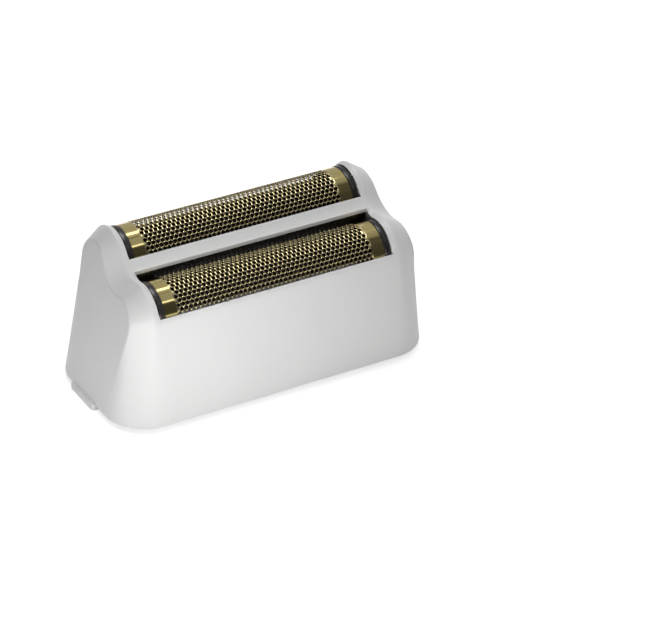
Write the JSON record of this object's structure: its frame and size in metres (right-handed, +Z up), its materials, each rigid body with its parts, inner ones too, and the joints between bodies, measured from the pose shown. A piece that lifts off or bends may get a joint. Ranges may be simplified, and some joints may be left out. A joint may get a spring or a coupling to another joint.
{
  "type": "shaver foil head",
  "caption": "Slip-on head of an electric shaver: a white moulded shroud with stepped humps, a black carrier and arched perforated foils over the cutter spaces.",
  "frame": {"origin": "middle of the footprint, on the plane of the two grip ledges that the head stands on", "axes": "+X along the foils, +Y from the low front foil to the high rear foil, +Z up out of the shaver"},
  "size_m": [0.0662, 0.0306, 0.0317],
  "materials": {
    "white_shroud": "satin white moulded ABS",
    "black_carrier": "glossy black moulded plastic",
    "gold_foil": "polished gold-toned perforated foil"
  },
  "bodies": {
    "root": {"shroud": "white_shroud", "foil_carrier": "black_carrier", "front_foil": "gold_foil", "rear_foil": "gold_foil"}
  },
  "joints": []
}
